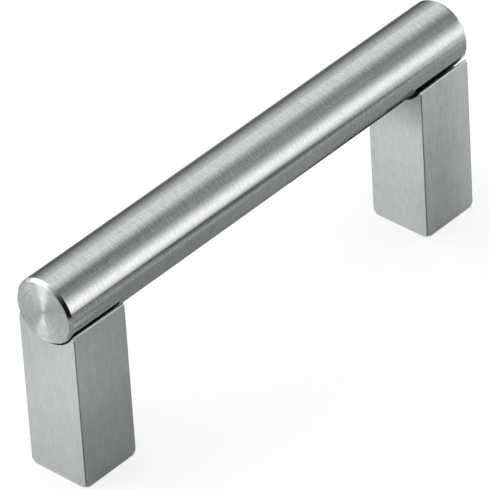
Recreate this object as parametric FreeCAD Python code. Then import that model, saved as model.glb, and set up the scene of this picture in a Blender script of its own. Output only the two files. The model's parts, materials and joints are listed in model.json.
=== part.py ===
import FreeCAD, Part
import math
import os

from FreeCAD import Vector

# Bridge pull handle: a round bar held in saddles on two square posts.
# Millimetres. The bar lies along X, +Z points away from the surface that the handle is screwed to,
# and the origin is on that surface, halfway between the two mounting holes.

INCH = 25.4

# Grip bar
# half-inch stock, ground and brushed down by 0.05 mm all round
bar_diameter = 12.6
bar_end_chamfer_depth = 0.5
bar_end_chamfer_length = 0.66
bar_overhang = 0.5
bar_axis_height = 34.9

# Posts
hole_spacing = 3.5 * INCH
post_width = 12.5
post_edge_radius = 0.15
foot_edge_chamfer = 0.12
foot_turning_depth = 0.78
foot_turning_height = 1.15
horn_turning_depth = 0.35
horn_turning_height = 1.2

# Saddles that the bar lies in
saddle_clearance = 0.45
saddle_seat_gap = 0.02
left_mouth_chamfer = 0.06
right_mouth_chamfer = 0.18
horn_land = 0.28
horn_slope_degrees = 1.2
horn_edge_radius = 0.15
# the right saddle is milled deeper, and the bar rests there on a ring round the screw
right_saddle_drop = 0.41
seat_ring_radius = 3.2

# Tapped mounting holes in the feet, 1/4-20, drawn at the major diameter
mount_thread_diameter = 0.25 * INCH
mount_thread_depth = 0.5 * INCH
mount_mouth_chamfer = 0.5
mount_tap_drill = 5.1

# Cap screws, 4-40, that clamp each post to the bar from inside
screw_diameter = 0.112 * INCH
screw_length = 0.5 * INCH
screw_head_diameter = 0.183 * INCH
screw_head_height = 0.112 * INCH
screw_head_chamfer = 0.3
screw_tip_chamfer = 0.35
screw_clearance = 0.18
socket_across_flats = 3 / 32 * INCH
socket_depth = 1.4
shoulder_thickness = 6.0

# Blind tapped holes in the underside of the bar, drawn at the major diameter
bar_thread_gap = 0.03
bar_hole_spare_depth = 1.6
drill_point_degrees = 118
bar_hole_mouth_chamfer = 0.3

# Worked out from the sizes above
bar_radius = bar_diameter / 2
bar_length = hole_spacing + post_width + 2 * bar_overhang
saddle_radius = bar_radius + saddle_clearance
saddle_bottom = bar_axis_height - bar_radius - saddle_seat_gap
saddle_axis_height = saddle_bottom + saddle_radius
shoulder_height = saddle_bottom - shoulder_thickness
screw_tip_height = shoulder_height + screw_length
half_width = post_width / 2
corner_distance = half_width * math.sqrt(2) - post_edge_radius * (math.sqrt(2) - 1)
X_AXIS = Vector(1, 0, 0)
UP = Vector(0, 0, 1)
MARGIN = 1.0


def revolved(points, axis_point, axis):
    """Solid of revolution of a closed outline of straight sides."""
    outline = Part.makePolygon(points + [points[0]])
    return Part.Face(outline).revolve(axis_point, axis, 360)


def edges_where(shape, test):
    """Edges of a shape whose middle point and length pass a test."""
    chosen = []
    for edge in shape.Edges:
        middle = edge.valueAt((edge.FirstParameter + edge.LastParameter) / 2)
        if test(edge, middle):
            chosen.append(edge)
    return chosen


def near(value, target):
    """True where two sizes agree to a hundredth of a millimetre."""
    return abs(value - target) < 0.01


def hex_prism(across_flats, height):
    """Upright hexagonal prism that stands on the plane z = 0."""
    corner_radius = across_flats / math.sqrt(3)
    corners = []
    for index in range(6):
        angle = math.radians(60 * index)
        corners.append(Vector(corner_radius * math.cos(angle), corner_radius * math.sin(angle), 0))
    outline = Part.makePolygon(corners + [corners[0]])
    return Part.Face(outline).extrude(UP * height)


def blind_tapped_hole():
    """Cutter for one tapped hole in the bar, with its drill point and countersunk mouth, on the Z axis."""
    radius = screw_diameter / 2 + bar_thread_gap
    wall_end = screw_tip_height + bar_hole_spare_depth
    point_height = radius / math.tan(math.radians(drill_point_degrees / 2))
    mouth_height = bar_axis_height - bar_radius
    outline = [
        Vector(0, 0, mouth_height - MARGIN),
        Vector(radius + bar_hole_mouth_chamfer + MARGIN, 0, mouth_height - MARGIN),
        Vector(radius, 0, mouth_height + bar_hole_mouth_chamfer),
        Vector(radius, 0, wall_end),
        Vector(0, 0, wall_end + point_height),
    ]
    return revolved(outline, Vector(0, 0, 0), UP)


def grip_bar():
    """Turned bar with chamfered ends and two blind tapped holes in its underside."""
    half_length = bar_length / 2
    inner_radius = bar_radius - bar_end_chamfer_depth
    outline = [
        Vector(-half_length, 0, 0),
        Vector(-half_length, 0, inner_radius),
        Vector(-half_length + bar_end_chamfer_length, 0, bar_radius),
        Vector(half_length - bar_end_chamfer_length, 0, bar_radius),
        Vector(half_length, 0, inner_radius),
        Vector(half_length, 0, 0),
    ]
    bar = revolved(outline, Vector(0, 0, 0), X_AXIS)
    bar.translate(Vector(0, 0, bar_axis_height))
    for side in (-1, 1):
        hole = blind_tapped_hole()
        hole.translate(Vector(side * hole_spacing / 2, 0, 0))
        bar = bar.cut(hole)
    return bar


def turning_middle(depth, rise):
    """How far in and how far from its end the middle of a corner's turned arc lies."""
    arc_radius = (rise ** 2 + depth ** 2) / (2 * depth)
    half_sweep = math.asin(rise / arc_radius) / 2
    return arc_radius * (1 - math.cos(half_sweep)), rise - arc_radius * math.sin(half_sweep)


def turned_corners(height):
    """Barrel that a square blank is turned to at both ends, so that only its corners are rounded off."""
    outer = corner_distance + MARGIN
    foot_end = corner_distance - foot_turning_depth
    horn_end = corner_distance - horn_turning_depth
    foot_in, foot_up = turning_middle(foot_turning_depth, foot_turning_height)
    horn_in, horn_down = turning_middle(horn_turning_depth, horn_turning_height)
    low = foot_turning_height
    high = height - horn_turning_height
    edges = [
        Part.makeLine(Vector(0, 0, 0), Vector(foot_end, 0, 0)),
        Part.Arc(Vector(foot_end, 0, 0), Vector(corner_distance - foot_in, 0, foot_up),
                 Vector(corner_distance, 0, low)).toShape(),
        Part.makeLine(Vector(corner_distance, 0, low), Vector(outer, 0, low + MARGIN)),
        Part.makeLine(Vector(outer, 0, low + MARGIN), Vector(outer, 0, high - MARGIN)),
        Part.makeLine(Vector(outer, 0, high - MARGIN), Vector(corner_distance, 0, high)),
        Part.Arc(Vector(corner_distance, 0, high), Vector(corner_distance - horn_in, 0, height - horn_down),
                 Vector(horn_end, 0, height)).toShape(),
        Part.makeLine(Vector(horn_end, 0, height), Vector(0, 0, height)),
        Part.makeLine(Vector(0, 0, height), Vector(0, 0, 0)),
    ]
    return Part.Face(Part.Wire(edges)).revolve(Vector(0, 0, 0), UP, 360)


def post_bore():
    """Cutter for a post's stepped bore: tapped mouth, tap drill up to the shoulder, screw clearance above."""
    thread_radius = mount_thread_diameter / 2
    drill_radius = mount_tap_drill / 2
    clear_radius = screw_diameter / 2 + screw_clearance
    runout = thread_radius - drill_radius
    outline = [
        Vector(0, 0, -MARGIN),
        Vector(thread_radius + mount_mouth_chamfer + MARGIN, 0, -MARGIN),
        Vector(thread_radius, 0, mount_mouth_chamfer),
        Vector(thread_radius, 0, mount_thread_depth),
        Vector(drill_radius, 0, mount_thread_depth + runout),
        Vector(drill_radius, 0, shoulder_height),
        Vector(clear_radius, 0, shoulder_height),
        Vector(clear_radius, 0, bar_axis_height),
        Vector(0, 0, bar_axis_height),
    ]
    return revolved(outline, Vector(0, 0, 0), UP)


def saddle_cutter(mouth_chamfer):
    """Cutter for the saddle: a milled trough with both of its mouths chamfered."""
    inner = saddle_radius
    outer = saddle_radius + mouth_chamfer + MARGIN
    face = half_width
    outline = [
        Vector(-face - MARGIN, 0, 0),
        Vector(-face - MARGIN, 0, outer),
        Vector(-face + mouth_chamfer, 0, inner),
        Vector(face - mouth_chamfer, 0, inner),
        Vector(face + MARGIN, 0, outer),
        Vector(face + MARGIN, 0, 0),
    ]
    cutter = revolved(outline, Vector(0, 0, 0), X_AXIS)
    cutter.translate(Vector(0, 0, saddle_axis_height))
    return cutter


def horn_top():
    """Height of the horns that leaves a flat of the given width between the saddle and the post's face."""
    mouth_half_width = half_width - horn_land
    return saddle_axis_height - math.sqrt(saddle_radius ** 2 - mouth_half_width ** 2)


def post(side, saddle_drop, mouth_chamfer):
    """Square post at one end of the bar, its saddle and horns lower by the drop; side is -1 or 1."""
    horn_height = horn_top() - saddle_drop
    body = Part.makeBox(post_width, post_width, horn_height, Vector(-half_width, -half_width, 0))
    upright = edges_where(body, lambda edge, middle: near(edge.Length, horn_height))
    body = body.makeFillet(post_edge_radius, upright)
    body = body.common(turned_corners(horn_height))

    # The horns are faced a little out of square and fall towards the middle of the handle.
    slope_wedge = Part.makeBox(3 * post_width, 3 * post_width, post_width,
                               Vector(-1.5 * post_width, -1.5 * post_width, 0))
    slope_wedge.rotate(Vector(0, 0, 0), Vector(0, 1, 0), -side * horn_slope_degrees)
    slope_wedge.translate(Vector(0, 0, horn_height - half_width * math.tan(math.radians(horn_slope_degrees))))
    body = body.cut(slope_wedge)
    saddle = saddle_cutter(mouth_chamfer)
    saddle.translate(UP * -saddle_drop)
    body = body.cut(saddle)

    rims = edges_where(body, lambda edge, middle: is_horn_rim(edge, middle, horn_height))
    body = body.makeFillet(horn_edge_radius, rims)
    foot_rim = edges_where(body, lambda edge, middle: near(middle.z, 0))
    body = body.makeChamfer(foot_edge_chamfer, foot_rim)
    if saddle_drop > 0:
        body = body.fuse(seat_ring(saddle_drop))
    body = body.cut(post_bore())
    body.translate(Vector(side * hole_spacing / 2, 0, 0))
    return body


def seat_ring(saddle_drop):
    """Ring that stands in a lowered saddle and carries the bar; it starts inside the post."""
    foot = saddle_bottom - saddle_drop - MARGIN
    ring = Part.makeCylinder(seat_ring_radius, bar_axis_height - foot, Vector(0, 0, foot))
    bar_room = Part.makeCylinder(bar_radius + saddle_seat_gap, post_width,
                                 Vector(-half_width, 0, bar_axis_height), X_AXIS)
    return ring.cut(bar_room)


def is_horn_rim(edge, middle, horn_height):
    """True for the two long outer edges of the horns' tops."""
    long_enough = edge.Length > post_width / 2
    at_face = near(abs(middle.y), half_width)
    at_top = middle.z > horn_height - horn_turning_height
    return long_enough and at_face and at_top


def cap_screw():
    """Socket head cap screw, head down, on the Z axis at its fitted height."""
    radius = screw_diameter / 2
    head_radius = screw_head_diameter / 2
    head_bottom = shoulder_height - screw_head_height
    outline = [
        Vector(0, 0, head_bottom),
        Vector(head_radius - screw_head_chamfer, 0, head_bottom),
        Vector(head_radius, 0, head_bottom + screw_head_chamfer),
        Vector(head_radius, 0, shoulder_height),
        Vector(radius, 0, shoulder_height),
        Vector(radius, 0, screw_tip_height - screw_tip_chamfer),
        Vector(radius - screw_tip_chamfer, 0, screw_tip_height),
        Vector(0, 0, screw_tip_height),
    ]
    screw = revolved(outline, Vector(0, 0, 0), UP)
    socket = hex_prism(socket_across_flats, socket_depth + MARGIN)
    socket.translate(Vector(0, 0, head_bottom - MARGIN))
    return screw.cut(socket)


def placed_screw(side):
    """Cap screw in the post at one end of the bar."""
    screw = cap_screw()
    screw.translate(Vector(side * hole_spacing / 2, 0, 0))
    return screw


def build():
    """All the pieces of the handle, by name."""
    return {
        "grip_bar": grip_bar(),
        "left_post": post(-1, 0, left_mouth_chamfer),
        "right_post": post(1, right_saddle_drop, right_mouth_chamfer),
        "left_cap_screw": placed_screw(-1),
        "right_cap_screw": placed_screw(1),
    }


os.makedirs("parts", exist_ok=True)
for name, shape in build().items():
    solids = shape.Solids
    print(name, len(solids), "solid", round(shape.Volume, 3), shape.isValid(), shape.BoundBox)
    solids[0].exportStep("parts/" + name + ".step")
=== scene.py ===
import json
import math

import bpy
from mathutils import Matrix, Vector

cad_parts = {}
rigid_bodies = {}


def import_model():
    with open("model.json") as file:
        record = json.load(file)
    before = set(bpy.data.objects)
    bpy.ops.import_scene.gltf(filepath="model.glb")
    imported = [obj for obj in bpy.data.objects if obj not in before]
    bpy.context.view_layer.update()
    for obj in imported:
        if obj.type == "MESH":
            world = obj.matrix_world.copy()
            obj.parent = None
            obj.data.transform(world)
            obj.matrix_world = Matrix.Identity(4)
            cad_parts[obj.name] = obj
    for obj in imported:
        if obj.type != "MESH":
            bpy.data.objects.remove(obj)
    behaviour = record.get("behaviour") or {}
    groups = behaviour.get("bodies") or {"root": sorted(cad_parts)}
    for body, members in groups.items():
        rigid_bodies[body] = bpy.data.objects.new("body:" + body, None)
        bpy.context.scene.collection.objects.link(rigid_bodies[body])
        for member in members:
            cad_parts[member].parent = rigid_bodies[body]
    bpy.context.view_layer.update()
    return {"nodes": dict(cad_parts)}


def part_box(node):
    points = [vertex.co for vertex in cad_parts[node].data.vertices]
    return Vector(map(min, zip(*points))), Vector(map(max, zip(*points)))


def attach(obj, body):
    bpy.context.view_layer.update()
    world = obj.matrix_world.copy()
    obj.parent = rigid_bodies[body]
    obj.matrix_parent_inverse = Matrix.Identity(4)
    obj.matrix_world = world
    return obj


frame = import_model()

bl_info = {
    "name": "Bridge Pull Handle",
    "version": (1, 0, 0),
    "blender": (4, 5, 0),
    "location": "3D View > Sidebar > Pull Handle",
    "description": "Finishes a brushed steel pull handle and sets it up on a studio floor",
    "category": "Object",
}

MM = 0.001
WHITE = (1.0, 1.0, 1.0, 1.0)

BAR_LOW, BAR_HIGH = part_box("grip_bar")
LEFT_LOW, LEFT_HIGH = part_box("left_post")
RIGHT_LOW, RIGHT_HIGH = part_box("right_post")
BAR_HALF_LENGTH = BAR_HIGH.x
BAR_AXIS_HEIGHT = (BAR_LOW.z + BAR_HIGH.z) / 2
BAR_RADIUS = (BAR_HIGH.z - BAR_LOW.z) / 2
LEFT_TIP = Vector((BAR_LOW.x, 0.0, BAR_AXIS_HEIGHT))
POST_SPACING = (RIGHT_LOW.x + RIGHT_HIGH.x - LEFT_LOW.x - LEFT_HIGH.x) / 2

# How nodes are laid out in the editor
NODES_IN_A_ROW, NODE_WIDTH, ROW_HEIGHT = 12, 180, 260

# The light that the bar sends to the camera has run this far along the bar, per run away from it
SIDEWAYS = 0.71
UPPER_DISTANCE, BACK_DISTANCE = 0.45, 0.4  # of the long cards from the bar's axis

# The cards' glow in red, green and blue, as shares of its level
LONG_TINT = (0.975, 1.01, 1.0)
TOP_TINT = (1.005, 0.992, 1.012)
STRIP_TINT = (1.03, 0.985, 1.0)
FLOOR_TINT = (0.97, 1.02, 1.0)
SMALL_TINT = (0.977, 1.0, 0.99)

# Edges of the cards that lie on the floor and near the posts
BELOW_FEET = -0.02 * MM
UNDER_POST = 0.5 * MM  # how far a floor card reaches under a post
FRONT_EDGE = -5.8 * MM
BACK_EDGE = 0.03
NEAR_FRONT = -7.0 * MM  # front edge of the cards between the bar and the floor
UNDER_DEPTH = 0.029
UNDER_HEIGHT, FAR_UNDER_HEIGHT = 12.0 * MM, 27.0 * MM
BESIDE_X, BESIDE_BACK, BESIDE_TOP = 0.0376, 2.0 * MM, 31.6 * MM
STRIP_HEIGHT = 0.125
LEFT_FRONT_HEIGHT = 0.36
WALL_HALF_WIDTH, WALL_HEIGHT, WALL_LEVEL = 0.2, 0.25, 0.62
POST_RUN = 0.035  # run of floor from a post that its left face shows
FRONT_RUN = 0.04  # run of floor from the left post that its front face shows
BACK_RUN, BACK_HALF_SPAN = 0.2, 0.05  # of the floor behind that the bar shows, across and along


class Value:
    """A number that a node tree works out. Sums with it add Math nodes to its tree."""

    def __init__(self, nodes, socket):
        self.nodes = nodes
        self.socket = socket

    def joined(self, operation, *others):
        return self.nodes.math(operation, self, *others)

    def __add__(self, other):
        return self.joined("ADD", other)

    __radd__ = __add__

    def __sub__(self, other):
        return self.joined("SUBTRACT", other)

    def __rsub__(self, other):
        return self.nodes.math("SUBTRACT", other, self)

    def __mul__(self, other):
        return self.joined("MULTIPLY", other)

    __rmul__ = __mul__

    def __truediv__(self, other):
        return self.joined("DIVIDE", other)

    def __rtruediv__(self, other):
        return self.nodes.math("DIVIDE", other, self)

    def __pow__(self, other):
        return self.joined("POWER", other)

    def __neg__(self):
        return self.joined("MULTIPLY", -1.0)

    def __abs__(self):
        return self.joined("ABSOLUTE")

    def above(self, edge):
        return self.joined("GREATER_THAN", edge)

    def below(self, edge):
        return self.joined("LESS_THAN", edge)

    def at_least(self, low):
        return self.joined("MAXIMUM", low)

    def at_most(self, high):
        return self.joined("MINIMUM", high)

    def swing(self, amount):
        """A noise from 0 to 1, made to swing about 0 by an amount."""
        return (self - 0.5) * amount

    def blend(self, first, second):
        """Goes from the first number to the second as this one goes from 0 to 1."""
        return self * (second - first) + first

    def step(self, start, end):
        """0 before the start, 1 after the end, smooth between."""
        made = self.nodes.node(
            "ShaderNodeMapRange", {"interpolation_type": "SMOOTHSTEP"},
            {"Value": self, "From Min": start, "From Max": end, "To Min": 0.0, "To Max": 1.0})
        return Value(self.nodes, made.outputs["Result"])

    def fade(self, start, end):
        """1 before the start, 0 after the end, smooth between."""
        return 1.0 - self.step(start, end)

    def band(self, start, full, falling, end):
        """0 before the start, 1 from full to falling, 0 after the end, smooth between."""
        return self.step(start, full) * self.fade(falling, end)

    def ramp(self, stops):
        """The level at this place, from stops that each have a place and a level."""
        made = self.nodes.node("ShaderNodeValToRGB", {"stops": stops}, {"Fac": self})
        return Value(self.nodes, made.outputs["Color"])


class Nodes:
    """Adds nodes to a tree, with their settings and what goes into them."""

    def __init__(self, tree):
        self.tree = tree
        self.count = 0

    def node(self, kind, settings=None, inputs=None):
        made = self.tree.nodes.new(kind)
        row, column = divmod(self.count, NODES_IN_A_ROW)
        made.location = (column * NODE_WIDTH, -row * ROW_HEIGHT)
        self.count += 1
        for key, setting in (settings or {}).items():
            if key == "stops":
                self.set_stops(made.color_ramp, setting)
            else:
                setattr(made, key, setting)
        for key, given in (inputs or {}).items():
            socket = made.inputs[key]
            if isinstance(given, Value):
                given = given.socket
            if isinstance(given, bpy.types.NodeSocket):
                self.tree.links.new(given, socket)
            else:
                socket.default_value = given
        return made

    @staticmethod
    def set_stops(ramp, stops):
        while len(ramp.elements) > len(stops):
            ramp.elements.remove(ramp.elements[-1])
        while len(ramp.elements) < len(stops):
            ramp.elements.new(1.0)
        for element, (place, level) in zip(ramp.elements, stops):
            element.position = place
            element.color = (level, level, level, 1.0)

    def math(self, operation, *parts):
        made = self.node("ShaderNodeMath", {"operation": operation}, dict(enumerate(parts)))
        return Value(self, made.outputs[0])

    def combined(self, x, y, z):
        return self.node("ShaderNodeCombineXYZ", None, {0: x, 1: y, 2: z}).outputs[0]


class Finish(Nodes):
    """The node tree of one material, or of the world."""

    def __init__(self, owner):
        owner.use_nodes = True
        super().__init__(owner.node_tree)
        self.owner = owner
        self.tree.nodes.clear()

    @classmethod
    def material(cls, name):
        return cls(bpy.data.materials.new(name))

    def vector(self, operation, *parts, scale=None):
        inputs = dict(enumerate(parts))
        if scale is not None:
            inputs["Scale"] = scale
        made = self.node("ShaderNodeVectorMath", {"operation": operation}, inputs)
        return made.outputs["Vector"]

    def dot(self, first, second):
        made = self.node(
            "ShaderNodeVectorMath", {"operation": "DOT_PRODUCT"}, {0: first, 1: second})
        return Value(self, made.outputs["Value"])

    def mixed(self, share, first, second):
        """Goes from the first vector or colour to the second as the share goes from 0 to 1."""
        made = self.node(
            "ShaderNodeMix", {"data_type": "VECTOR"}, {0: share, "A": first, "B": second})
        return [socket for socket in made.outputs if socket.type == "VECTOR"][0]

    def separated(self, vector):
        made = self.node("ShaderNodeSeparateXYZ", None, {0: vector})
        return [Value(self, socket) for socket in made.outputs]

    def place(self):
        """Where a point of the piece is, in metres."""
        return self.node("ShaderNodeTexCoord").outputs["Object"]

    def normal(self):
        return self.node("ShaderNodeNewGeometry").outputs["Normal"]

    def noise(self, vector, detail=2.0, roughness=0.5):
        made = self.node(
            "ShaderNodeTexNoise", {"noise_dimensions": "3D"},
            {"Vector": vector, "Scale": 1.0, "Detail": detail, "Roughness": roughness})
        return Value(self, made.outputs["Fac"])

    def speckle(self, size, detail):
        """Noise in even grains of a size."""
        return self.noise(self.vector("SCALE", self.place(), scale=1.0 / size), detail)

    def streaks(self, parts, sizes, detail=2.0, roughness=0.5, shift=None):
        """Noise in long grains. Each part of the place has a size, and a shift moves the first."""
        x, y, z = (part / size for part, size in zip(parts, sizes))
        if shift is not None:
            x = x + shift
        return self.noise(self.combined(x, y, z), detail, roughness)

    def shade(self, colour, amount):
        """A colour made lighter or darker by a number that changes over the surface."""
        return self.vector("SCALE", tuple(colour)[:3], scale=amount)

    def tilted(self, direction, slope):
        """The surface's normal, tilted along a direction by a slope."""
        lean = self.vector("SCALE", direction, scale=slope)
        return self.vector("NORMALIZE", self.vector("ADD", self.normal(), lean))

    def steel(self, colour, roughness, normal):
        shader = self.node(
            "ShaderNodeBsdfPrincipled", None,
            {"Base Color": colour, "Roughness": roughness, "Metallic": 1.0, "Normal": normal})
        self.surface(shader.outputs["BSDF"])

    def matt(self, colour):
        return self.node("ShaderNodeBsdfDiffuse", None, {"Color": colour}).outputs[0]

    def emission(self, colour):
        return self.node(
            "ShaderNodeEmission", None, {"Color": colour, "Strength": 1.0}).outputs[0]

    def glow(self, level, tint=SMALL_TINT):
        """An emission that changes over the surface, in the tint of its card."""
        return self.emission(self.shade(tint, level))

    def mixed_shader(self, share, first, second):
        return self.node("ShaderNodeMixShader", None, {0: share, 1: first, 2: second}).outputs[0]

    def surface(self, socket):
        self.node("ShaderNodeOutputMaterial", None, {"Surface": socket})

    def seen_white(self):
        """1 for the rays that show the background to the camera, in metal and through glass."""
        path = self.node("ShaderNodeLightPath")
        seen = Value(self, path.outputs["Is Camera Ray"])
        for kind in ("Is Glossy Ray", "Is Transmission Ray"):
            seen = seen.at_least(Value(self, path.outputs[kind]))
        return seen


class Recipe(Nodes):
    """A Geometry Nodes tree with named inputs."""

    def __init__(self, name, inputs):
        super().__init__(bpy.data.node_groups.new(name, "GeometryNodeTree"))
        interface = self.tree.interface
        self.ids = {
            key: interface.new_socket(key, in_out="INPUT", socket_type="NodeSocketFloat").identifier
            for key in inputs}
        interface.new_socket("Geometry", in_out="OUTPUT", socket_type="NodeSocketGeometry")
        given = self.node("NodeGroupInput")
        self.sizes = {key: Value(self, given.outputs[key]) for key in inputs}

    def finished(self, geometry, material):
        real = self.node("GeometryNodeRealizeInstances", None, {0: geometry}).outputs[0]
        dressed = self.node(
            "GeometryNodeSetMaterial", None, {"Geometry": real, "Material": material}).outputs[0]
        self.node("NodeGroupOutput", None, {"Geometry": dressed})

    def made(self, name, sizes):
        """The plain mesh object that the tree gives for these sizes."""
        seed = placed(name + "_seed", bpy.data.meshes.new(name + "_seed"))
        modifier = seed.modifiers.new(name, "NODES")
        modifier.node_group = self.tree
        for key, size in sizes.items():
            modifier[self.ids[key]] = size
        depsgraph = bpy.context.evaluated_depsgraph_get()
        mesh = bpy.data.meshes.new_from_object(seed.evaluated_get(depsgraph))
        bpy.data.objects.remove(seed)
        mesh.name = name
        return placed(name, mesh)


class BarFinish(bpy.types.PropertyGroup):
    colour: bpy.props.FloatVectorProperty(
        name="Steel", description="Colour of the brushed side of the bar",
        subtype="COLOR", size=3, min=0.0, max=1.0, default=(0.575, 0.608, 0.597))
    end_colour: bpy.props.FloatVectorProperty(
        name="Turned end", description="Colour of the turned end faces",
        subtype="COLOR", size=3, min=0.0, max=1.0, default=(0.49, 0.517, 0.51))
    roughness: bpy.props.FloatProperty(
        name="Roughness", description="Roughness along the brushing",
        default=0.165, min=0.0, max=1.0)
    streak_width: bpy.props.FloatProperty(
        name="Streak width", description="Width of a brushing streak along the bar",
        subtype="DISTANCE", unit="LENGTH", default=0.09 * MM, min=0.01 * MM)
    streak_length: bpy.props.FloatProperty(
        name="Streak length", description="Length of a brushing streak round the bar",
        subtype="DISTANCE", unit="LENGTH", default=2.2 * MM, min=0.1 * MM)
    streak_slope: bpy.props.FloatProperty(
        name="Streak slope", description="How far the streaks tilt the surface",
        default=0.1, min=0.0)
    streak_tone: bpy.props.FloatProperty(
        name="Streak tone", description="How far the streaks lighten and darken the steel",
        default=1.15, min=0.0, max=2.0)
    ring_width: bpy.props.FloatProperty(
        name="Ring width", description="Width of a turning mark on the end faces",
        subtype="DISTANCE", unit="LENGTH", default=0.08 * MM, min=0.01 * MM)
    ring_slope: bpy.props.FloatProperty(
        name="Ring slope", description="How far the turning marks tilt the end faces",
        default=0.52, min=0.0)
    crown: bpy.props.FloatProperty(
        name="Crown", description="Slope of the end faces at their rim", default=0.07, min=0.0)
    chamfer: bpy.props.FloatProperty(
        name="End chamfer", description="Length of the chamfer along both ends",
        subtype="DISTANCE", unit="LENGTH", default=0.66 * MM, min=0.0)


class PostFinish(bpy.types.PropertyGroup):
    colour: bpy.props.FloatVectorProperty(
        name="Steel", description="Colour of the satin posts",
        subtype="COLOR", size=3, min=0.0, max=1.0, default=(0.587, 0.612, 0.605))
    roughness: bpy.props.FloatProperty(
        name="Roughness", description="Roughness along the grain", default=0.4, min=0.0, max=1.0)
    grain_width: bpy.props.FloatProperty(
        name="Grain width", description="Width of a grain line across a post",
        subtype="DISTANCE", unit="LENGTH", default=0.14 * MM, min=0.01 * MM)
    grain_length: bpy.props.FloatProperty(
        name="Grain length", description="Length of a grain line up a post",
        subtype="DISTANCE", unit="LENGTH", default=2.5 * MM, min=0.1 * MM)
    grain_slope: bpy.props.FloatProperty(
        name="Grain slope", description="How far the grain tilts the surface",
        default=0.15, min=0.0)
    grain_tone: bpy.props.FloatProperty(
        name="Grain tone", description="How far the grain lightens and darkens the steel",
        default=0.5, min=0.0, max=1.0)
    scatter: bpy.props.FloatProperty(
        name="Scatter",
        description="How far the grain too fine to see spreads a reflection sideways",
        default=2.2, min=0.0)


class ScrewFinish(bpy.types.PropertyGroup):
    colour: bpy.props.FloatVectorProperty(
        name="Steel", description="Colour of the cap screws",
        subtype="COLOR", size=3, min=0.0, max=1.0, default=(0.42, 0.43, 0.43))
    roughness: bpy.props.FloatProperty(
        name="Roughness", description="Roughness of the cap screws",
        default=0.35, min=0.0, max=1.0)


class FootThread(bpy.types.PropertyGroup):
    colour: bpy.props.FloatVectorProperty(
        name="Steel", description="Colour of the cut threads",
        subtype="COLOR", size=3, min=0.0, max=1.0, default=(0.5, 0.53, 0.52))
    pitch: bpy.props.FloatProperty(
        name="Pitch", description="Distance between two turns of the mounting thread",
        subtype="DISTANCE", unit="LENGTH", default=1.27 * MM, min=0.2 * MM)
    root_radius: bpy.props.FloatProperty(
        name="Root radius", description="Radius of the bore that the thread stands in",
        subtype="DISTANCE", unit="LENGTH", default=3.175 * MM, min=0.5 * MM)
    crest_radius: bpy.props.FloatProperty(
        name="Crest radius", description="Radius that the crests reach in to",
        subtype="DISTANCE", unit="LENGTH", default=2.6 * MM, min=0.4 * MM)
    bottom: bpy.props.FloatProperty(
        name="Bottom", description="Height of the first turn above the mounting face",
        subtype="DISTANCE", unit="LENGTH", default=1.2 * MM, min=0.0)
    turns: bpy.props.FloatProperty(
        name="Turns", description="Number of turns", default=8.25, min=1.0)


class StageSettings(bpy.types.PropertyGroup):
    floor_colour: bpy.props.FloatVectorProperty(
        name="Floor", description="Colour of the floor",
        subtype="COLOR", size=3, min=0.0, max=1.0, default=(0.95, 0.95, 0.95))
    floor_glow: bpy.props.FloatProperty(
        name="Floor glow", description="Share of plain white in what the floor shows",
        default=0.7, min=0.0, max=1.0)
    sky: bpy.props.FloatProperty(
        name="Sky", description="Strength of the white light from all round",
        default=1.0, min=0.0)
    camera_azimuth: bpy.props.FloatProperty(
        name="Azimuth", description="Turn of the camera round the handle",
        subtype="ANGLE", unit="ROTATION", default=math.radians(-46.2958))
    camera_elevation: bpy.props.FloatProperty(
        name="Elevation", description="Height of the camera as an angle",
        subtype="ANGLE", unit="ROTATION", default=math.radians(36.7350))
    camera_roll: bpy.props.FloatProperty(
        name="Roll", description="Turn of the camera round its own view",
        subtype="ANGLE", unit="ROTATION", default=math.radians(-3.6727))
    camera_distance: bpy.props.FloatProperty(
        name="Distance", description="Distance of the camera from the point it looks at",
        subtype="DISTANCE", unit="LENGTH", default=1162.486 * MM)
    camera_aim: bpy.props.FloatVectorProperty(
        name="Aim", description="Point that the camera looks at", subtype="XYZ", size=3,
        default=(5.588 * MM, 7.149 * MM, 12.031 * MM))
    focal_length: bpy.props.FloatProperty(
        name="Focal length", description="Focal length of the camera in millimetres",
        default=493.73, min=1.0)


class HandleSettings(bpy.types.PropertyGroup):
    bar: bpy.props.PointerProperty(type=BarFinish)
    posts: bpy.props.PointerProperty(type=PostFinish)
    screws: bpy.props.PointerProperty(type=ScrewFinish)
    thread: bpy.props.PointerProperty(type=FootThread)
    stage: bpy.props.PointerProperty(type=StageSettings)


def placed(name, data):
    """A new object in the scene for a mesh, a lamp or a lens."""
    made = bpy.data.objects.new(name, data)
    bpy.context.collection.objects.link(made)
    return made


def put_on(node, finish):
    """Gives every slot of a CAD node's object a material."""
    for slot in frame["nodes"][node].material_slots:
        slot.material = finish.owner


def from_bar_axis(y, z):
    """How far a place is from the bar's axis."""
    up = z - BAR_AXIS_HEIGHT
    return (y * y + up * up) ** 0.5


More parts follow.
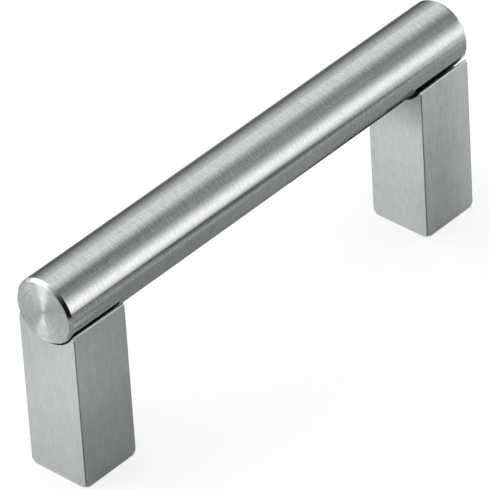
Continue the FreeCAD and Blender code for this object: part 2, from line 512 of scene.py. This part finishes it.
class HANDLE_OT_bar(bpy.types.Operator):
    """Brush the bar round its side and turn its ends"""

    bl_idname = "handle.bar"
    bl_label = "Finish Bar"

    # Width along the bar and length round it of the marks that come with the streaks
    BROAD = (0.45 * MM, 4.0 * MM, 4.0 * MM)
    WANDER = (0.2 * MM, 3.0 * MM, 3.0 * MM)
    # Sizes of the marks on the end faces, and of the grit all over
    FEED = 0.35 * MM
    WOBBLE = (2.0 * MM, 2.0 * MM, 2.0 * MM)
    RINGING = (0.22 * MM, 5.0 * MM, 5.0 * MM)
    GRIT = 0.13 * MM

    # Places in the noise of the marks that share an axis, so that they don't fall together
    BROAD_SHIFT, WANDER_SHIFT, FEED_PLACE = 7.0, 31.0, (3.4, 7.7)

    UNEVENNESS = 0.35  # by this share the streaks show more or less in a band
    END_ROUGHNESS, CHAMFER_ROUGHNESS = 0.24, 0.13
    END_MARGIN, CHAMFER_MARGIN = 0.03 * MM, 0.01 * MM  # keep both faces whole
    CENTRE = 0.01 * MM  # of an end face, where its marks have no direction
    HUB = (0.1 * MM, 0.4 * MM)  # the turning marks start between these distances from it

    def execute(self, context):
        given = context.scene.pull_handle.bar
        f = Finish.material("brushed_bar")
        x, y, z = f.separated(f.place())
        up = z - BAR_AXIS_HEIGHT
        rise = up / BAR_RADIUS
        forward = y / -BAR_RADIUS
        from_axis = from_bar_axis(y, z)
        on_end = abs(x).above(BAR_HALF_LENGTH - self.END_MARGIN)
        chamfer_start = BAR_HALF_LENGTH - given.chamfer - self.CHAMFER_MARGIN
        on_chamfer = abs(x).above(chamfer_start) * (1.0 - on_end)

        # The streaks of the side tilt it along the bar, and a little round it
        fine = f.streaks(
            (x, y, up), (given.streak_width, given.streak_length, given.streak_length),
            detail=4.0, roughness=0.75)
        broad = f.streaks((x, y, up), self.BROAD, shift=self.BROAD_SHIFT)
        turn = f.streaks((x, y, up), self.WANDER, shift=self.WANDER_SHIFT).swing(0.014)
        streak = fine.swing(given.streak_slope) + broad.swing(0.012)
        lean = f.combined(streak, rise * -turn, y / BAR_RADIUS * turn)
        side_normal = f.tilted(lean, (1.0 - on_end) * (1.0 - on_chamfer))

        # The turning marks of the ends tilt them outwards
        spread = from_axis + self.CENTRE
        out = f.combined(0.0, y / spread, up / spread)
        wobble = f.streaks((y, up, x), self.WOBBLE)
        feed = f.noise(f.combined(from_axis / self.FEED, *self.FEED_PLACE))
        phase = (from_axis / given.ring_width + feed * 2.0 + wobble * 0.5) * math.tau
        rings = phase.joined("SINE")
        depth = given.ring_slope * (0.6 + feed * 0.8) * from_axis.step(*self.HUB)
        crown = from_axis / BAR_RADIUS * given.crown
        end_normal = f.tilted(out, rings * depth + crown)

        # The streaks show less in the bright band in front, and more above and below it
        grit = f.speckle(self.GRIT, detail=1.0)
        bright_band = forward.step(0.7, 0.85) * rise.step(0.2, 0.4)
        dark_band = forward.band(0.35, 0.5, 0.68, 0.78) * rise.step(0.2, 0.4)
        low_down = rise.fade(0.1, 0.3)
        contrast = 1.0 + (dark_band + low_down - bright_band) * self.UNEVENNESS
        marks = fine.swing(given.streak_tone) + broad.swing(0.06) + grit.swing(0.95)
        side_colour = f.shade(given.colour, 1.0 + marks * contrast)
        ringing = f.streaks((from_axis, y, up), self.RINGING)
        # Painted light: the end faces are made a tenth lighter above the axis, towards +y
        painted_light_side = y.step(-1.0 * MM, 3.0 * MM) * up.step(-4.0 * MM, 0.0)
        end_tone = 1.0 + ringing.swing(0.48) + grit.swing(0.3) + painted_light_side * 0.1
        end_colour = f.shade(given.end_colour, end_tone)

        roughness = on_end.blend(given.roughness + broad.swing(0.03), self.END_ROUGHNESS)
        roughness = on_chamfer.blend(roughness, self.CHAMFER_ROUGHNESS)
        f.steel(
            f.mixed(on_end, side_colour, end_colour), roughness,
            f.mixed(on_end, side_normal, end_normal))
        put_on("grip_bar", f)
        return {"FINISHED"}


class HANDLE_OT_posts(bpy.types.Operator):
    """Give the posts their satin grain"""

    bl_idname = "handle.posts"
    bl_label = "Finish Posts"

    # Sizes of the marks, across a post and up it
    BROAD = (1.5 * MM, 1.5 * MM, 14.0 * MM)
    HAIR = (0.02 * MM, 0.02 * MM, 0.05 * MM)
    MOTTLE, GRIT = 1.8 * MM, 0.15 * MM

    SADDLE_DEPTH = 1.2 * MM  # the saddle's face lies within this of the bar
    RIM_HEIGHT, RIM_WIDTH = 2.0 * MM, 0.16 * MM  # of the edges beside the saddle with a painted highlight
    EDGE_START, EDGE_END = 0.2 * MM, 0.13 * MM  # of the upright edges with painted shade, from a sharp corner
    # Shares of painted shade in the saddle, painted highlight on the rims and painted shade along
    # the upright edges
    SADDLE_DARKER, RIM_LIGHTER, EDGE_DARKER = 0.82, 0.6, 0.6

    def execute(self, context):
        given = context.scene.pull_handle.posts
        f = Finish.material("satin_post")
        x, y, z = f.separated(f.place())
        grain = f.streaks(
            (x, y, z), (given.grain_width, given.grain_width, given.grain_length),
            detail=3.0, roughness=0.6)
        broad = f.streaks((x, y, z), self.BROAD)
        hair = f.streaks((x, y, z), self.HAIR, detail=1.0)
        across = f.vector("NORMALIZE", f.vector("CROSS_PRODUCT", (0.0, 0.0, 1.0), f.normal()))
        normal = f.tilted(across, grain.swing(given.grain_slope) + hair.swing(given.scatter))

        mottle = f.speckle(self.MOTTLE, detail=2.0)
        grit = f.speckle(self.GRIT, detail=1.0)
        tone = 1.0 + grain.swing(given.grain_tone) + broad.swing(0.1) + mottle.swing(0.14)
        tone = tone + grit.swing(0.4)
        # Painted light on the right post's front face
        tone = tone * (1.0 + self.painted_light_right_front(f, x, z))
        # Painted shade in the saddle, under the bar
        tone = tone * (1.0 - self.in_saddle(f, y, z) * self.SADDLE_DARKER)
        # Painted highlight on the rims at the top
        tone = tone * (1.0 + self.on_rim(f, y, z) * self.RIM_LIGHTER)
        # Painted shade along the upright edges
        tone = tone * (1.0 - self.on_edge(x, y) * self.EDGE_DARKER)
        f.steel(f.shade(given.colour, tone), given.roughness + broad.swing(0.06), normal)
        put_on("left_post", f)
        put_on("right_post", f)
        return {"FINISHED"}

    @staticmethod
    def painted_light_right_front(f, x, z):
        """Painted light: how much lighter the right post's front face is made, most at its outer
        edge.
        """
        faces_front = (-f.separated(f.normal())[1]).step(0.7, 0.95)
        outer = x.step(RIGHT_LOW.x + 5.0 * MM, RIGHT_HIGH.x) * 0.38
        upper = z.step(12.0 * MM, 30.0 * MM)
        lighter = 0.26 + upper * 0.17 + outer * (1.0 - upper * 0.45)
        return faces_front * x.above(0.0) * lighter

    @classmethod
    def in_saddle(cls, f, y, z):
        """1 on the saddle's face, which is turned to the bar's axis and gets painted shade."""
        from_axis = from_bar_axis(y, z)
        to_axis = f.combined(0.0, -y / from_axis, -(z - BAR_AXIS_HEIGHT) / from_axis)
        facing = f.dot(f.normal(), to_axis)
        return facing.step(0.3, 0.55) * from_axis.below(BAR_RADIUS + cls.SADDLE_DEPTH)

    @classmethod
    def on_rim(cls, f, y, z):
        """1 on the rounded edges at the top of the front and the back face, which get a painted
        highlight.
        """
        sloped = f.separated(f.normal())[2].band(0.1, 0.3, 0.8, 0.95)
        at_top = z.above(LEFT_HIGH.z - cls.RIM_HEIGHT)
        return sloped * at_top * abs(y).above(LEFT_HIGH.y - cls.RIM_WIDTH)

    @classmethod
    def on_edge(cls, x, y):
        """1 on the rounded upright edges, which get a line of painted shade."""
        off_centre = abs(abs(x) - POST_SPACING / 2) + abs(y)
        corner = LEFT_HIGH.x - LEFT_LOW.x
        return off_centre.step(corner - cls.EDGE_START, corner - cls.EDGE_END)


class HANDLE_OT_screws(bpy.types.Operator):
    """Finish the cap screws inside the posts"""

    bl_idname = "handle.screws"
    bl_label = "Finish Cap Screws"

    MOTTLE = 0.3 * MM

    def execute(self, context):
        given = context.scene.pull_handle.screws
        f = Finish.material("plain_screw")
        mottle = f.speckle(self.MOTTLE, detail=3.0)
        colour = f.shade(given.colour, 1.0 + mottle.swing(0.25))
        f.steel(colour, given.roughness + mottle.swing(0.2), f.normal())
        put_on("left_cap_screw", f)
        put_on("right_cap_screw", f)
        return {"FINISHED"}


class HANDLE_OT_thread(bpy.types.Operator):
    """Cut the mounting threads in the posts' feet"""

    bl_idname = "handle.thread"
    bl_label = "Cut Foot Threads"

    MOTTLE = 0.4 * MM
    ROUGHNESS = 0.3
    POINTS_IN_A_TURN = 48
    # Half widths of the ridge in pitches, and how far its foot is sunk in the bore, in depths
    FOOT, CREST, SUNK = 0.42, 0.07, 0.08

    def execute(self, context):
        given = context.scene.pull_handle.thread
        f = Finish.material("cut_thread")
        mottle = f.speckle(self.MOTTLE, detail=3.0)
        colour = f.shade(given.colour, 1.0 + mottle.swing(0.2))
        f.steel(colour, self.ROUGHNESS + mottle.swing(0.1), f.normal())

        recipe = Recipe("foot_thread", (
            "Pitch", "Turns", "Root Radius", "Crest Radius", "Bottom", "Spacing"))
        recipe.finished(self.pair(recipe, self.ridge(recipe)), f.owner)
        piece = recipe.made("foot_threads", {
            "Pitch": given.pitch,
            "Turns": given.turns,
            "Root Radius": given.root_radius,
            "Crest Radius": given.crest_radius,
            "Bottom": given.bottom,
            "Spacing": POST_SPACING,
        })
        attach(piece, "root")
        return {"FINISHED"}

    @classmethod
    def ridge(cls, recipe):
        """One thread, swept along a spiral."""
        size = recipe.sizes
        path = recipe.node("GeometryNodeCurveSpiral", None, {
            "Resolution": cls.POINTS_IN_A_TURN,
            "Rotations": size["Turns"],
            "Start Radius": size["Root Radius"],
            "End Radius": size["Root Radius"],
            "Height": size["Pitch"] * size["Turns"],
        }).outputs[0]
        level = recipe.node("GeometryNodeSetCurveNormal", {"mode": "Z_UP"}, {0: path}).outputs[0]
        depth = size["Root Radius"] - size["Crest Radius"]
        foot = size["Pitch"] * cls.FOOT
        crest = size["Pitch"] * cls.CREST
        sunk = depth * -cls.SUNK
        outline = recipe.node("GeometryNodeCurvePrimitiveQuadrilateral", {"mode": "POINTS"}, {
            "Point 1": recipe.combined(sunk, foot, 0.0),
            "Point 2": recipe.combined(depth, crest, 0.0),
            "Point 3": recipe.combined(depth, -crest, 0.0),
            "Point 4": recipe.combined(sunk, -foot, 0.0),
        }).outputs[0]
        return recipe.node(
            "GeometryNodeCurveToMesh", None,
            {"Curve": level, "Profile Curve": outline, "Fill Caps": True}).outputs[0]

    @staticmethod
    def pair(recipe, ridge):
        """The thread in both feet."""
        spacing = recipe.sizes["Spacing"]
        row = recipe.node("GeometryNodeMeshLine", {"mode": "OFFSET"}, {
            "Count": 2,
            "Start Location": recipe.combined(-(spacing * 0.5), 0.0, 0.0),
            "Offset": recipe.combined(spacing, 0.0, 0.0),
        }).outputs[0]
        both = recipe.node(
            "GeometryNodeInstanceOnPoints", None, {"Points": row, "Instance": ridge}).outputs[0]
        lift = recipe.combined(0.0, 0.0, recipe.sizes["Bottom"])
        return recipe.node(
            "GeometryNodeTransform", None, {"Geometry": both, "Translation": lift}).outputs[0]


def round_the_bar(degrees, distance):
    """A point at an angle round the bar's axis, where 0 is behind it, 90 above, 180 in front."""
    angle = math.radians(degrees)
    return distance * math.cos(angle), BAR_AXIS_HEIGHT + distance * math.sin(angle)


def flat(along, across, height):
    """The corners of a level card from its reach in x and in y."""
    (x0, x1), (y0, y1) = along, across
    return [(x0, y0, height), (x1, y0, height), (x1, y1, height), (x0, y1, height)]


def upright(start, end, low, high):
    """The corners of a standing card from the ends of its foot."""
    return [(*start, low), (*end, low), (*end, high), (*start, high)]


def sheet(name, corners):
    """A flat piece with one face, and the finish that is on it."""
    mesh = bpy.data.meshes.new(name)
    mesh.from_pydata([Vector(corner) for corner in corners], [], [tuple(range(len(corners)))])
    f = Finish.material(name)
    mesh.materials.append(f.owner)
    return placed(name, mesh), f


def card(name, corners, shader_of):
    """A studio card that only shows in reflections. shader_of gives its shader at x, y and z."""
    piece, f = sheet(name, corners)
    f.surface(shader_of(f, *f.separated(f.place())))
    for ray in ("camera", "diffuse", "shadow", "transmission", "volume_scatter"):
        setattr(piece, "visible_" + ray, False)


def long_card(name, angles, distance, reach, levels, drift=None, tint=LONG_TINT):
    """A glowing card that runs along the bar, between two angles round it.

    Its levels go from the first angle to the last. drift gives the factor by which they change,
    from how far across the card a place is and how far to the right the bar shows it.
    """
    (y0, z0), (y1, z1) = (round_the_bar(angle, distance) for angle in angles)
    x0, x1 = reach
    run = Vector((y1 - y0, z1 - z0))

    def shader(f, x, y, z):
        across = ((y - y0) * run.x + (z - z0) * run.y) / run.length_squared
        level = across.ramp(levels)
        if drift:
            shown_at = x - (from_bar_axis(y, z) - BAR_RADIUS) * SIDEWAYS
            right = (shown_at / (BAR_HALF_LENGTH * 2) + 0.5).at_least(0.0).at_most(1.0)
            level = level * drift(across, right)
        return f.glow(level, tint)

    card(name, [(x0, y0, z0), (x1, y0, z0), (x1, y1, z1), (x0, y1, z1)], shader)


def side_drift(across, right):
    """Lighter to the left above and below, and in the middle lightest right of the centre."""
    upper = across.fade(0.2, 0.3) * (0.15 - right * 0.21)
    off_middle = right - 0.58
    middle = across.band(0.24, 0.34, 0.5, 0.6) * (0.04 - off_middle * off_middle * 1.1)
    lower = across.step(0.6, 0.75) * (0.05 - right * 0.08)
    return 1.0 + upper + middle + lower


def top_drift(across, right):
    """A little lighter to the right at the back edge, and to the left at the front edge."""
    return 1.0 + (1.0 - across * 2.0) * (right * 2.0 - 1.0) * 0.07


# The shaders of the other cards. Their places are in metres, and their levels are shares of white.
# The levels are painted light and shade, which the steel shows in its reflections.

def wall(f, x, y, z):
    """Plain, beyond either end, for views along the bar."""
    return f.emission((*(WALL_LEVEL * share for share in SMALL_TINT), 1.0))


def front_strip(f, x, y, z):
    """The bright band along the bar's front, brightest at half height."""
    level = (z / STRIP_HEIGHT).ramp((
        (0.0, 0.42), (0.08, 0.56), (0.2, 0.76), (0.3, 0.88), (0.55, 1.0), (0.8, 0.98),
        (1.0, 0.82)))
    return f.glow(level * (1.56 - x.step(0.07, 0.24) * 0.12), STRIP_TINT)


def left_front(f, x, y, z):
    """What the end's chamfer shows: light above, and at the back end below."""
    level = (z / LEFT_FRONT_HEIGHT).ramp((
        (0.0, 0.01), (0.25, 0.01), (0.38, 0.08), (0.53, 0.33), (0.75, 0.76), (1.0, 1.1)))
    low_left = z.fade(0.1, 0.2) * y.step(-0.03, -0.005)
    return f.glow(level + low_left * 0.95)


def front_floor(f, x, y, z):
    """What the posts' front faces and the bar's lower band show of the floor."""
    plain = 0.287 + x.step(0.0, 0.035) * 0.055
    ridge = y.band(-0.048, -0.062, -0.07, -0.08) * 0.11
    near_line = y.step(-0.06, -0.085) * x.band(0.02, 0.06, 0.085, 0.13) * 0.19
    far_line = y.step(-0.11, -0.13) * x.band(0.04, 0.07, 0.115, 0.165) * 0.14
    near_post = ((LEFT_LOW.y - y) / FRONT_RUN).ramp((
        (0.0, 0.14), (0.15, 0.15), (0.32, 0.02), (0.5, 0.13), (0.66, 0.7), (0.79, 0.93),
        (0.92, 0.1), (1.0, 0.07))) - 0.06
    near_post = near_post * x.band(-0.06, -0.05, -0.03, -0.012)
    right = x.step(0.098, 0.145) * (0.34 + y.step(-0.075, -0.06) * 0.5)
    left = (-x).step(0.052, 0.06) * y.step(-0.07, -0.05) * 0.04
    far_left = (-x).step(0.06, 0.072) * y.step(-0.035, -0.02) * 0.45
    level = plain + ridge - near_line - far_line + near_post + right + left + far_left
    return f.matt(f.shade(FLOOR_TINT, level))


def under_bar(f, x, y, z):
    """Painted shade in place of the shaded floor, that the bar's underside shows between the posts;
    darker to the back.
    """
    return f.glow(((y - NEAR_FRONT) / UNDER_DEPTH).ramp((
        (0.1, 0.26), (0.207, 0.256), (0.317, 0.227), (0.434, 0.193), (0.566, 0.15),
        (0.724, 0.12), (1.0, 0.1))))


def far_under(f, x, y, z):
    """The same near the right post: painted shade, dark but for a strip in front."""
    inner = y.step(-6.2 * MM, -3.8 * MM)
    level = 0.31 - x.step(0.008, 0.036) * 0.06 - x.step(0.004, 0.026) * inner * 0.2
    return f.glow(level.at_least(0.02) * (1.0 - y.step(-4.8 * MM, -3.6 * MM) * 0.9))


def beside_post(f, x, y, z):
    """Painted shade where the bar sees it from the left, clear to the post behind it."""
    dark = f.glow(0.16 - y.step(-6.2 * MM, -4.4 * MM) * 0.13)
    behind = f.node("ShaderNodeNewGeometry").outputs["Backfacing"]
    clear = f.node("ShaderNodeBsdfTransparent").outputs[0]
    return f.mixed_shader(behind, dark, clear)


def back_floor(f, x, y, z):
    """Darker away from the handle, and to the left of where the bar's back shows it."""
    level = (y / BACK_RUN).ramp((
        (0.0, 0.66), (0.15, 0.47), (0.22, 0.4), (0.285, 0.36), (0.378, 0.315), (0.535, 0.228),
        (0.87, 0.135), (1.0, 0.115)))
    along = x - y * 0.85  # the place on the bar that shows this place
    share = ((along + BACK_HALF_SPAN) / (BACK_HALF_SPAN * 2)).ramp((
        (0.0, 0.38), (0.08, 0.42), (0.16, 0.66), (0.24, 0.78), (0.5, 0.96), (0.76, 0.92),
        (0.92, 0.82), (1.0, 0.78)))
    far_left = along.fade(-0.03, 0.005) * y.step(0.055, 0.105) * 0.5
    behind_bar = (x - (y - 0.04) * 0.6).step(-0.05, -0.02)
    return f.glow(behind_bar.blend(0.5, level * (far_left + share)))


def left_floor(f, x, y, z):
    """What the left post's outer face shows, lighter further from it: painted shade close to the
    post.
    """
    return f.glow(((LEFT_LOW.x - x) / POST_RUN).ramp((
        (0.0, 0.73), (0.07, 0.735), (0.17, 0.78), (0.385, 0.88), (0.61, 0.97), (0.72, 1.015),
        (0.82, 1.1), (1.0, 1.15))))


def between_posts(f, x, y, z):
    """What the right post's inner face shows, lighter further from it: painted shade close to the
    post.
    """
    return f.glow(((RIGHT_LOW.x - x) / POST_RUN).ramp((
        (0.0, 0.77), (0.07, 0.79), (0.166, 0.8), (0.385, 0.76), (0.55, 0.8), (0.63, 0.9),
        (0.72, 1.6), (0.8, 2.0), (1.0, 2.0))))


def softbox(name, azimuth, elevation, distance, size, level):
    """An area lamp of an even glow that faces the bar's left end, from angles in degrees."""
    turn, rise = math.radians(azimuth), math.radians(elevation)
    way = Vector((
        math.cos(turn) * math.cos(rise), math.sin(turn) * math.cos(rise), math.sin(rise)))
    lamp = bpy.data.lights.new(name, "AREA")
    lamp.shape = "RECTANGLE"
    lamp.size, lamp.size_y = size
    lamp.energy = level * math.pi * size[0] * size[1]
    holder = placed(name, lamp)
    holder.location = LEFT_TIP + way * distance
    holder.rotation_euler = (LEFT_TIP - holder.location).to_track_quat("-Z", "Y").to_euler()


class HANDLE_OT_stage(bpy.types.Operator):
    """Set up the floor, the light, the studio cards and the camera"""

    bl_idname = "handle.stage"
    bl_label = "Set Up Stage"

    FLOOR_REACH, FLOOR_HEIGHT = 5.0, -0.05 * MM
    SENSOR_WIDTH = 36.0

    def execute(self, context):
        given = context.scene.pull_handle.stage
        self.floor(given)
        self.light(context, given)
        self.long_cards()
        self.floor_cards()
        self.camera(context, given)
        return {"FINISHED"}

    def floor(self, given):
        reach = (-self.FLOOR_REACH, self.FLOOR_REACH)
        piece, f = sheet("floor", flat(reach, reach, self.FLOOR_HEIGHT))
        matt = f.matt((*given.floor_colour, 1.0))
        share = f.seen_white() * given.floor_glow
        f.surface(f.mixed_shader(share, matt, f.emission(WHITE)))

    def light(self, context, given):
        world = bpy.data.worlds.new("studio")
        f = Finish(world)
        lit, shown = (
            f.node("ShaderNodeBackground", None, {"Color": WHITE, "Strength": strength}).outputs[0]
            for strength in (given.sky, 1.0))
        f.node("ShaderNodeOutputWorld", None, {
            "Surface": f.mixed_shader(f.seen_white(), lit, shown)})
        context.scene.world = world
        softbox("low_left_softbox", 146.0, 6.0, 0.6, (0.32, 0.22), 3.0)
        softbox("left_back_softbox", 121.0, 39.0, 0.9, (1.1, 0.8), 1.0)

    def long_cards(self):
        """The cards round the bar, which run along it."""
        long_card("camera_side_card", (84.0, 157.0), UPPER_DISTANCE, (-0.45, 1.3), (
            (0.0, 0.8), (0.118, 0.66), (0.234, 0.46), (0.338, 0.37), (0.435, 0.37), (0.53, 0.44),
            (0.625, 0.355), (0.726, 0.51), (0.837, 0.78), (0.93, 1.04), (1.0, 1.22)), side_drift)
        for name, reach in (("top_card", (-0.12, 1.3)), ("top_left_card", (-0.45, -0.31))):
            long_card(
                name, (44.0, 84.0), UPPER_DISTANCE, reach, ((0.0, 1.0), (1.0, 1.0)),
                top_drift, TOP_TINT)
        card("front_strip", upright((-0.1, -0.21), (1.0, -0.21), 0.0, STRIP_HEIGHT), front_strip)
        for name, reach in (("back_card", (-0.03, 1.5)), ("back_left_card", (-0.4, -0.28))):
            long_card(name, (-12.0, 44.0), BACK_DISTANCE, reach, (
                (0.0, 0.12), (0.139, 0.14), (0.283, 0.21), (0.418, 0.32), (0.549, 0.41),
                (0.683, 0.52), (0.824, 0.67), (1.0, 0.9)))
        long_card("back_near_card", (15.0, 44.0), BACK_DISTANCE, (-0.07, -0.03), (
            (0.0, 0.37), (0.35, 0.48), (0.7, 0.68), (1.0, 0.9)))
        for name, x in (("left_wall_card", -1.0), ("right_wall_card", 1.6)):
            corners = upright((x, -WALL_HALF_WIDTH), (x, WALL_HALF_WIDTH), 0.0, WALL_HEIGHT)
            card(name, corners, wall)

    def floor_cards(self):
        """The cards on the floor and close to the posts."""
        left_end, right_end = LEFT_LOW.x + UNDER_POST, RIGHT_LOW.x + UNDER_POST
        card(
            "front_floor_card", flat((-0.14, 0.6), (-0.205, FRONT_EDGE), BELOW_FEET), front_floor)
        card(
            "under_bar_card",
            flat((-0.026, 0.022), (NEAR_FRONT, NEAR_FRONT + UNDER_DEPTH), UNDER_HEIGHT), under_bar)
        card(
            "far_under_card", flat((0.008, 0.0335), (NEAR_FRONT, 0.0), FAR_UNDER_HEIGHT),
            far_under)
        card(
            "beside_post_card",
            upright((BESIDE_X, BESIDE_BACK), (BESIDE_X, NEAR_FRONT), UNDER_HEIGHT, BESIDE_TOP),
            beside_post)
        card("back_floor_card", flat((-0.1, 0.9), (BACK_EDGE, 0.6), 0.0), back_floor)
        card("left_floor_card", [
            (-0.3, FRONT_EDGE, BELOW_FEET), (left_end, FRONT_EDGE, BELOW_FEET),
            (left_end, BACK_EDGE, BELOW_FEET), (-0.1, 0.3, BELOW_FEET), (-0.3, 0.3, BELOW_FEET),
        ], left_floor)
        card(
            "between_card", flat((0.002, right_end), (FRONT_EDGE, BACK_EDGE), BELOW_FEET),
            between_posts)
        card(
            "left_front_card",
            upright((-0.245, 0.04), (-0.101, -0.136), 0.0, LEFT_FRONT_HEIGHT), left_front)

    def camera(self, context, given):
        turn, rise, roll = given.camera_azimuth, given.camera_elevation, given.camera_roll
        back = Vector((
            math.sin(turn) * math.cos(rise), -math.cos(turn) * math.cos(rise), math.sin(rise)))
        right = Vector((math.cos(turn), math.sin(turn), 0.0))
        up = back.cross(right)
        across = right * math.cos(roll) + up * math.sin(roll)
        upward = up * math.cos(roll) - right * math.sin(roll)
        lens = bpy.data.cameras.new("camera")
        lens.sensor_width = self.SENSOR_WIDTH
        lens.lens = given.focal_length
        holder = placed("camera", lens)
        turned = Matrix((across, upward, back)).transposed().to_4x4()
        place = Vector(given.camera_aim) + back * given.camera_distance
        holder.matrix_world = Matrix.Translation(place) @ turned
        context.scene.camera = holder
        context.scene.view_settings.view_transform = "Standard"


class HANDLE_PT_panel(bpy.types.Panel):
    """Lists the handle's steps and their sizes"""

    bl_idname = "HANDLE_PT_panel"
    bl_label = "Pull Handle"
    bl_space_type = "VIEW_3D"
    bl_region_type = "UI"
    bl_category = "Pull Handle"

    def draw(self, context):
        settings = context.scene.pull_handle
        for operator, part in STEPS:
            box = self.layout.box()
            box.operator(operator)
            group = getattr(settings, part)
            for key in group.__annotations__:
                box.prop(group, key)


STEPS = (
    ("handle.bar", "bar"),
    ("handle.posts", "posts"),
    ("handle.screws", "screws"),
    ("handle.thread", "thread"),
    ("handle.stage", "stage"),
)

CLASSES = (
    BarFinish,
    PostFinish,
    ScrewFinish,
    FootThread,
    StageSettings,
    HandleSettings,
    HANDLE_OT_bar,
    HANDLE_OT_posts,
    HANDLE_OT_screws,
    HANDLE_OT_thread,
    HANDLE_OT_stage,
    HANDLE_PT_panel,
)


def register():
    for kind in CLASSES:
        bpy.utils.register_class(kind)
    bpy.types.Scene.pull_handle = bpy.props.PointerProperty(type=HandleSettings)


def unregister():
    del bpy.types.Scene.pull_handle
    for kind in reversed(CLASSES):
        bpy.utils.unregister_class(kind)


def main():
    register()
    bpy.ops.handle.bar()
    bpy.ops.handle.posts()
    bpy.ops.handle.screws()
    bpy.ops.handle.thread()
    bpy.ops.handle.stage()


if __name__ == "__main__":
    main()
